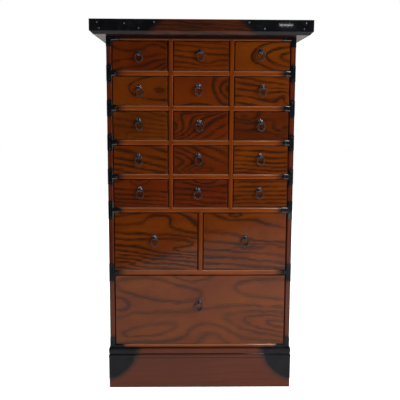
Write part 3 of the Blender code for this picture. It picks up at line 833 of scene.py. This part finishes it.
def split_pin_bmesh(eye, face_y, inner_y):
    """One wire: bent legs inside the drawer, through the front, and round the eye."""
    half_gap = EYE_WIRE * 1.02
    spread = [(inner_y + EYE_WIRE, LEG_LENGTH * share) for share in (1.0, 0.6, 0.3)]
    spread += [(inner_y + EYE_WIRE * 0.2, half_gap * 1.5), (inner_y - EYE_WIRE * 2, half_gap)]
    spread.append((face_y - 0.0030, half_gap))
    loop = []
    start = math.asin(half_gap / EYE_LOOP)
    for step in range(EYE_STEPS + 1):
        angle = start + (math.tau - 2 * start) * step / EYE_STEPS
        loop.append((eye.y + EYE_LOOP * math.cos(angle), EYE_LOOP * math.sin(angle)))
    back = [(y, -height) for y, height in reversed(spread)]
    points = [Vector((eye.x, y, eye.z + height)) for y, height in spread + loop + back]
    return tube_bmesh(points, EYE_WIRE, sides=10)


def make_ring(drawer, draw):
    axis = RING_AXES[drawer.ring]
    points = []
    for step in range(RING_STEPS):
        angle = math.tau * step / RING_STEPS
        points.append(Vector((math.sin(angle) * RING_HALF_WIDTH, 0.0, math.cos(angle) * RING_HALF_HEIGHT)))
    bm = tube_bmesh(points, RING_WIRE, sides=16, closed=True)
    lean = math.radians(draw.uniform(-RING_TILT, RING_TILT))
    hang = Matrix.Translation(axis) @ Matrix.Rotation(lean, 4, "Y")
    bmesh.ops.transform(bm, matrix=hang @ Matrix.Translation((0, 0, -RING_HALF_HEIGHT)), verts=bm.verts)
    add_piece(f"{drawer.ring}_pull", bm, RING_IRON, drawer.ring, [drawer.ring])


def make_tray(drawer, face_y, inner_y):
    """The drawer's sides, back and bottom, behind its front."""
    low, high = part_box(drawer.name)
    tray_low = low.z + TRAY_LIFT
    tray_high = drawer.opening.low + DRAWER_LIFT
    tray_high += (drawer.opening.high - drawer.opening.low) * TRAY_HEIGHT_SHARE
    left = low.x + TRAY_SIDE_GAP
    right = high.x - TRAY_SIDE_GAP
    start, end = inner_y + BOARD_GAP, face_y + TRAY_LENGTH
    inside = (left + TRAY_WALL + BOARD_GAP, right - TRAY_WALL - BOARD_GAP)
    bottom_end = end - TRAY_WALL - BOARD_GAP
    boards = {
        "side_left": ((left, left + TRAY_WALL), (start, end), tray_high, PLAIN_WOOD, BOARD_EASE),
        "side_right": ((right - TRAY_WALL, right), (start, end), tray_high, PLAIN_WOOD, BOARD_EASE),
        "back": (inside, (end - TRAY_WALL, end), tray_high - MM, PLAIN_CROSS_WOOD, BOARD_EASE),
        "bottom": (inside, (start, bottom_end), tray_low + TRAY_BOTTOM, PLAIN_WOOD, BOTTOM_EASE),
    }
    for part, ((x_low, x_high), (y_low, y_high), z_high, material, ease) in boards.items():
        board = box_bmesh((x_low, y_low, tray_low), (x_high, y_high, z_high))
        round_edges(board, ease, 2)
        add_piece(f"{drawer.name}_{part}", board, material, drawer.name)


def make_drawer(drawer, figure, draw):
    name = drawer.name
    low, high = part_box(name)
    face_y = FRONT + FRONT_RECESS
    inner_y = face_y + FRONT_THICKNESS
    centre = Vector(((low.x + high.x) / 2, face_y, (low.z + high.z) / 2))
    size = WANDER_SIZES[name.split("_")[0]]
    front_wood = wood(f"{name}_wood", "X", centre, figure, DRAWER_PALETTE, LACQUER, size)
    front = box_bmesh((low.x, face_y, low.z), (high.x, inner_y, high.z))
    round_edges(front, FRONT_EASE, 3, lambda edge: all(vert.co.y < face_y + MM for vert in edge.verts))
    add_piece(f"{name}_front", front, front_wood, name, [name])
    make_tray(drawer, face_y, inner_y)
    eye = RING_AXES[drawer.ring]
    rosette = rosette_bmesh(Vector((eye.x, face_y - 0.0001, eye.z + PLATE_RISE)))
    add_piece(f"{name}_rosette", rosette, ROSETTE_IRON, name)
    pin = split_pin_bmesh(eye, face_y, inner_y)
    add_piece(f"{name}_split_pin", pin, RING_IRON, name)
    make_ring(drawer, draw)


# ---------- irons
def frame_depth(x, z):
    """How far the front frame's chamfered surface lies behind its flat face at a point."""
    depth = 0.0
    for drawer in DRAWERS:
        gap = drawer.opening
        away = max(gap.left - x, x - gap.right, gap.low - z, z - gap.high)
        if away < CHAMFER:
            depth = max(depth, CHAMFER - max(away, 0.0))
    return depth


def rounded(depth):
    """How far a sheet bent round a chamfer lies back, where the chamfer itself lies depth back."""
    return CHAMFER - math.sqrt(max(CHAMFER**2 - depth**2, 0.0))


def cut(bm, point, normal):
    geometry = bm.verts[:] + bm.edges[:] + bm.faces[:]
    bmesh.ops.bisect_plane(bm, geom=geometry, dist=1e-7, plane_co=point, plane_no=normal)


def add_sheet(name, bm, material, replaced=(), thickness=SHEET):
    """Makes an open mesh a sheet of iron on the case, with its faces turned away from the cabinet."""
    bmesh.ops.recalc_face_normals(bm, faces=bm.faces)
    if sum(face.normal.y * face.calc_area() for face in bm.faces) > 0:
        bmesh.ops.reverse_faces(bm, faces=bm.faces)
    obj = add_piece(name, bm, material, "case", replaced, closed=False)
    solid = obj.modifiers.new("sheet", "SOLIDIFY")
    solid.thickness = thickness
    solid.offset = 1.0
    solid.use_even_offset = True
    angle_bevel(obj, "filed_edges", SHEET_EDGE, 1, 40)


# Where a bent sheet gets its edges across a chamfer, as shares of the chamfer's width
BEND_STEPS = (1.0, 0.5, 0.134, 0.0)


def cut_bends(bm, outline, side):
    """Cuts a flat sheet where it will bend over the chamfers of the openings on its side."""
    reach_low = min(z for _, z in outline) - CHAMFER
    reach_high = max(z for _, z in outline) + CHAMFER
    for share in BEND_STEPS:
        cut(bm, (side * (INNER_HALF + CHAMFER * share), 0, 0), (1, 0, 0))
    for gap in [drawer.opening for drawer in DRAWERS]:
        if side * (gap.left + gap.right) <= -1e-6:
            continue
        for edge, inward in ((gap.low, -1), (gap.high, 1)):
            if reach_low < edge < reach_high:
                for share in BEND_STEPS:
                    cut(bm, (0, 0, edge + inward * CHAMFER * share), (0, 0, 1))
                cut(bm, (side * INNER_HALF, 0, edge), (side, 0, -inward))


def draped_iron(name, outline, side, nails, iron_kind):
    """Sheet iron laid over the front frame and bent round the case's corner.

    outline and nails are (distance from the middle, z).
    """
    bm = bmesh.new()
    bm.faces.new([bm.verts.new((side * x, 0.0, z)) for x, z in outline])
    cut_bends(bm, outline, side)
    for vert in bm.verts:
        vert.co.y = FRONT + rounded(frame_depth(vert.co.x, vert.co.z)) - SHEET_GAP
    outer = [edge for edge in bm.edges if all(abs(abs(v.co.x) - CASE_HALF) < 1e-6 for v in edge.verts)]
    for vert in {v for edge in outer for v in edge.verts}:
        vert.co.x = side * (CASE_HALF + SHEET_GAP)
    made = bmesh.ops.extrude_edge_only(bm, edges=outer)["geom"]
    turned = [v for v in made if isinstance(v, bmesh.types.BMVert)]
    bmesh.ops.translate(bm, vec=(0, SIDE_WRAP, 0), verts=turned)
    add_sheet(name, bm, iron_kind)
    points = []
    for x, z in nails:
        depth = rounded(frame_depth(x, z))
        points.append(Vector((side * x, FRONT + depth - SHEET_GAP - SHEET, z)))
    add_nails(f"{name}_nails", points, DARK_NAIL_IRON)


NAIL_RADIUS = 0.0019
CAP_NAIL_RADIUS = 0.0021
NAIL_RISE = 0.0011


def add_nails(name, points, material, radius=NAIL_RADIUS):
    """Round nail heads as one group, each a low dome whose middle plane lies on the iron."""
    bm = bmesh.new()
    for point in points:
        made = bmesh.ops.create_uvsphere(bm, u_segments=16, v_segments=10, radius=1.0)["verts"]
        scale = Matrix.Diagonal((radius, NAIL_RISE, radius, 1.0))
        bmesh.ops.transform(bm, matrix=Matrix.Translation(point) @ scale, verts=made)
    add_piece(name, bm, material, "case")


SIDE_WRAP = 0.016
STILE_MIDDLE = (INNER_HALF + CHAMFER + CASE_HALF) / 2
# Each T iron's half height, its arm's end and its iron, from the top down
T_IRONS = (*[(0.0184, 0.195, GLOSSY_IRON)] * 4, (0.0222, 0.191, GLOSSY_IRON), (0.0222, 0.198, BLACK_IRON))
T_ARM_TIP = 0.0085
T_TIP_SHOULDER = (0.35, 0.52)
T_NAIL_INSET = 0.0040
T_ARM_NAIL = 0.0095
UPPER_CORNER_FOOT = 0.8420
UPPER_CORNER_NAILS = ((0.2000, 0.8625), (STILE_MIDDLE, 0.8625), (STILE_MIDDLE, 0.8465))
LOWER_CORNER_HEAD = 0.1298
LOWER_CORNER_NAIL = (STILE_MIDDLE, 0.1255)


def t_outline(low, high, arm_low, arm_high, arm_end):
    """A T: the upright over the stile, and an arm along the rail that narrows to a point."""
    middle = (arm_low + arm_high) / 2
    neck = arm_end + T_ARM_TIP
    shoulder = neck - T_ARM_TIP * T_TIP_SHOULDER[0]
    half = (arm_high - arm_low) / 2 * T_TIP_SHOULDER[1]
    upright = [(CASE_HALF, low), (CASE_HALF, high), (INNER_HALF, high)]
    arm = [(INNER_HALF, arm_high), (neck, arm_high), (shoulder, middle + half), (arm_end, middle)]
    arm += [(shoulder, middle - half), (neck, arm_low), (INNER_HALF, arm_low)]
    return upright + arm + [(INNER_HALF, low)]


def make_frame_irons():
    for name, side in SIDES:
        for number, ((low, high), (half, arm_end, kind)) in enumerate(zip(SHELVES, T_IRONS), start=1):
            middle = (low.z + high.z) / 2
            outline = t_outline(middle - half, middle + half, low.z, high.z, arm_end)
            nails = [
                (STILE_MIDDLE, middle + half - T_NAIL_INSET),
                (STILE_MIDDLE, middle - half + T_NAIL_INSET),
                (arm_end + T_ARM_NAIL, middle),
            ]
            draped_iron(f"t_iron_{number}_{name}", outline, side, nails, kind)
        make_corner_irons(name, side)


def make_corner_irons(name, side):
    head = TOP_LOW.z - 0.0005
    foot = LIP_TOP + 0.0006
    upper = [(CASE_HALF, UPPER_CORNER_FOOT), (CASE_HALF, head), (0.190, head), (0.194, CASE_TOP_LOW)]
    upper += [(INNER_HALF, CASE_TOP_LOW), (INNER_HALF, UPPER_CORNER_FOOT)]
    draped_iron(f"upper_corner_iron_{name}", upper, side, UPPER_CORNER_NAILS, GLOSSY_IRON)
    lower = [(CASE_HALF, foot), (CASE_HALF, LOWER_CORNER_HEAD), (INNER_HALF, LOWER_CORNER_HEAD)]
    lower += [(INNER_HALF, BOTTOM_RAIL_HIGH), (0.192, BOTTOM_RAIL_HIGH), (0.188, foot)]
    draped_iron(f"lower_corner_iron_{name}", lower, side, [LOWER_CORNER_NAIL], BLACK_IRON)


BEAD_IRON_RETURN = 0.055
PLINTH_IRON_STEPS = 20


def bead_iron(name, low, high, side):
    """Sheet iron bent round the front corner of one bead, with a slanted end."""
    bm = bmesh.new()
    end_low, end_high = (BEAD_IRON_END + BEAD_IRON_SLANT * (LIP_TOP - z) for z in (low, high))
    columns = []
    for outward, z in moulding_face():
        if low - 1e-6 <= z <= high + 1e-6:
            end = end_low + (end_high - end_low) * ((z - low) / (high - low))
            out = outward + SHEET_GAP
            points = [(side * end, FRONT - out), (side * (CASE_HALF + out), FRONT - out)]
            points.append((side * (CASE_HALF + out), FRONT + BEAD_IRON_RETURN))
            columns.append([bm.verts.new((x, y, z)) for x, y in points])
    skin(bm, columns, closed=False)
    add_sheet(name, bm, BLACK_IRON)


def make_base_irons():
    for name, side in SIDES:
        bead_iron(f"upper_bead_iron_{name}", GROOVE, LIP_TOP, side)
        bead_iron(f"lower_bead_iron_{name}", PLINTH_TOP, GROOVE, side)
        make_plinth_iron(name, side)


def make_plinth_iron(name, side):
    """The corner iron of the plinth: its lower edge is a quarter curve on the front and on the flank."""
    out = PLINTH_PROUD + SHEET_GAP
    corner = CASE_HALF + out
    high = PLINTH_IRON_HIGH.z
    drop = high - PLINTH_IRON_LOW.z
    curve = []
    for step in range(PLINTH_IRON_STEPS + 1):
        angle = math.pi / 2 * step / PLINTH_IRON_STEPS
        along = max(math.cos(angle), 0.0) ** (2 / PLINTH_IRON_FULLNESS)
        down = math.sin(angle) ** (2 / PLINTH_IRON_FULLNESS)
        curve.append((PLINTH_IRON_LENGTH * along, high - drop * down))
    bm = bmesh.new()
    top = bm.verts.new((side * corner, FRONT - out, high))
    bottom = bm.verts.new((side * corner, FRONT - out, curve[-1][1]))
    front = [bm.verts.new((side * (corner - along), FRONT - out, z)) for along, z in curve[:-1]]
    flank = [bm.verts.new((side * corner, FRONT - out + along, z)) for along, z in curve[:-1]]
    bm.faces.new([top, *front, bottom])
    bm.faces.new([bottom, *reversed(flank), top])
    add_sheet(f"plinth_corner_iron_{name}", bm, BLACK_IRON, [f"plinth_iron_{name}"], PLINTH_SHEET)


# The cap irons' nails, as (distance from the middle, z)
TOP_NAILS = ((0.2393, 0.8922), (0.2347, 0.8790), (0.1774, 0.8898), (0.1442, 0.8794), (0.1090, 0.8931))


def make_top_irons():
    """Cap irons: along the front edge of the top board, round its corner, and on along its end."""
    low, high = TOP_IRON_LOW.z, TOP_IRON_HIGH.z
    end = TOP_IRON_HIGH.x - SHEET - SHEET_GAP
    outline = [(end, low), (end, high), (TOP_IRON_LOW.x, high), (TOP_IRON_LOWER_END, low)]
    sheet_y = CAD_LOW.y + (SHEET + NAIL_RISE)
    back_y = CAD_LOW.y + (TOP_IRON_HIGH.y - TOP_IRON_LOW.y)
    for name, side in SIDES:
        bm = bmesh.new()
        front = [bm.verts.new((side * x, sheet_y, z)) for x, z in outline]
        bm.faces.new(front)
        back = [bm.verts.new((side * end, back_y, z)) for z in (low, high)]
        bm.faces.new((front[0], front[1], back[1], back[0]))
        add_sheet(f"cap_iron_{name}", bm, GLOSSY_IRON, [f"top_iron_{name}"])
        heads = [Vector((side * x, sheet_y - SHEET, z)) for x, z in TOP_NAILS]
        add_nails(f"cap_iron_{name}_nails", heads, NAIL_IRON, CAP_NAIL_RADIUS)


# ---------- studio
def make_floor():
    tree = Tree("studio_floor")
    mottle = tree.noise(tree.object_point(), scale=3.0, detail=2.0)[0]
    tree.set(Base_Color=tree.mix(mottle, *FLOOR_GREYS), Roughness=0.7)
    tree.set(Specular_IOR_Level=0.0, Emission_Color=(1.0, 1.0, 1.0, 1.0), Emission_Strength=0.88)
    bm = bmesh.new()
    corners = [(-3.0, 9.0), (-3.0, FRONT + 3.1), (1.0, FRONT - 3.3), (3.0, FRONT - 3.3), (3.0, 9.0)]
    bm.faces.new([bm.verts.new((x, y, CAD_LOW.z - 0.0003)) for x, y in corners])
    mesh_object("studio_floor", bm, tree.block)


def area_light(name, location, target, width, height, watts, glossy=True, diffuse=True):
    data = bpy.data.lights.new(name, "AREA")
    data.shape = "RECTANGLE"
    data.size = width
    data.size_y = height
    data.energy = watts
    light = link(name, data)
    light.location = location
    light.rotation_euler = (Vector(target) - Vector(location)).to_track_quat("-Z", "Y").to_euler()
    light.visible_glossy = glossy
    light.visible_diffuse = diffuse


def make_lights():
    """Broad soft lights. Those with diffuse=False only show as highlights in the lacquer and the iron."""
    middle = (0.0, 0.0, 0.45)
    front_middle = (0.0, FRONT, 0.6)
    area_light("overhead_strip", (0.41, -0.55, 1.95), (0.41, -0.55, 0.0), 0.20, 1.5, 17, diffuse=False)
    area_light("key", (0.95, FRONT - 1.05, 0.85), (0.0, FRONT, 0.5), 0.8, 0.8, 20.5, glossy=False)
    area_light("front_left_fill", (-1.6, -2.4, 1.6), middle, 1.4, 1.4, 3.5, glossy=False)
    area_light("front_right_fill", (1.7, -2.4, 1.4), middle, 1.4, 1.4, 7, glossy=False)
    area_light("right_strip", (1.9, -0.3, 0.7), (0.2, -0.2, 0.5), 0.8, 1.2, 9)
    area_light("left_fill", (-1.9, 0.3, 1.3), middle, 1.2, 1.2, 8, glossy=False)
    area_light("back_fill", (0.3, 2.6, 1.6), middle, 1.6, 1.4, 30, glossy=False)
    area_light("front_lamp", (0.56, -2.72, 1.18), (0.19, -0.2, 0.887), 0.075, 0.004, 0.018, diffuse=False)
    for name, side, watts in (("left", -1, 7.0), ("right", 1, 13.0)):
        place = (side * 1.75, -0.95, 2.0)
        area_light(f"window_{name}", place, front_middle, 0.6, 0.6, watts)
        area_light(f"glint_{name}", place, front_middle, 0.25, 0.25, watts, diffuse=False)


def make_world():
    """White behind the object, a soft grey room elsewhere, and darkness in front of it."""
    tree = Tree("studio", "worlds")
    depth = tree.separate(tree.nodes.new("ShaderNodeTexCoord").outputs["Generated"])[1]
    room = tree.nodes["Background"]
    tree.feed(room.inputs["Color"], tree.ramp(depth, [(0.05, 0.02), (0.7, 0.45)]))
    backdrop = tree.nodes.new("ShaderNodeBackground")
    backdrop.inputs["Color"].default_value = (1.0, 1.0, 1.0, 1.0)
    seen = tree.nodes.new("ShaderNodeLightPath").outputs["Is Camera Ray"]
    chosen = tree.nodes.new("ShaderNodeMixShader")
    for socket, value in zip(chosen.inputs, (seen, room.outputs[0], backdrop.outputs[0])):
        tree.feed(socket, value)
    tree.feed(tree.nodes["World Output"].inputs["Surface"], chosen.outputs[0])
    bpy.context.scene.world = tree.block


CAMERA_PLACE = Vector((-0.0336, FRONT - 1.6064, 0.7069))
CAMERA_YAW = 0.0200
CAMERA_PITCH = 0.1419
CAMERA_ROLL = 0.0045
CAMERA_LENS = 60.03


def make_camera():
    data = bpy.data.cameras.new("camera")
    data.sensor_width = 36.0
    data.lens = CAMERA_LENS
    camera = link("camera", data)
    turn = Matrix.Rotation(-CAMERA_YAW, 4, "Z") @ Matrix.Rotation(math.pi / 2 - CAMERA_PITCH, 4, "X")
    camera.matrix_world = Matrix.Translation(CAMERA_PLACE) @ turn @ Matrix.Rotation(CAMERA_ROLL, 4, "Z")
    bpy.context.scene.camera = camera


def main():
    draw = random.Random(7)
    make_carcass()
    make_base()
    for drawer, figure in zip(DRAWERS, FIGURES):
        make_drawer(drawer, figure, draw)
    make_frame_irons()
    make_base_irons()
    make_top_irons()
    make_floor()
    make_world()
    make_lights()
    make_camera()
    bpy.context.scene.view_settings.view_transform = "Standard"


main()
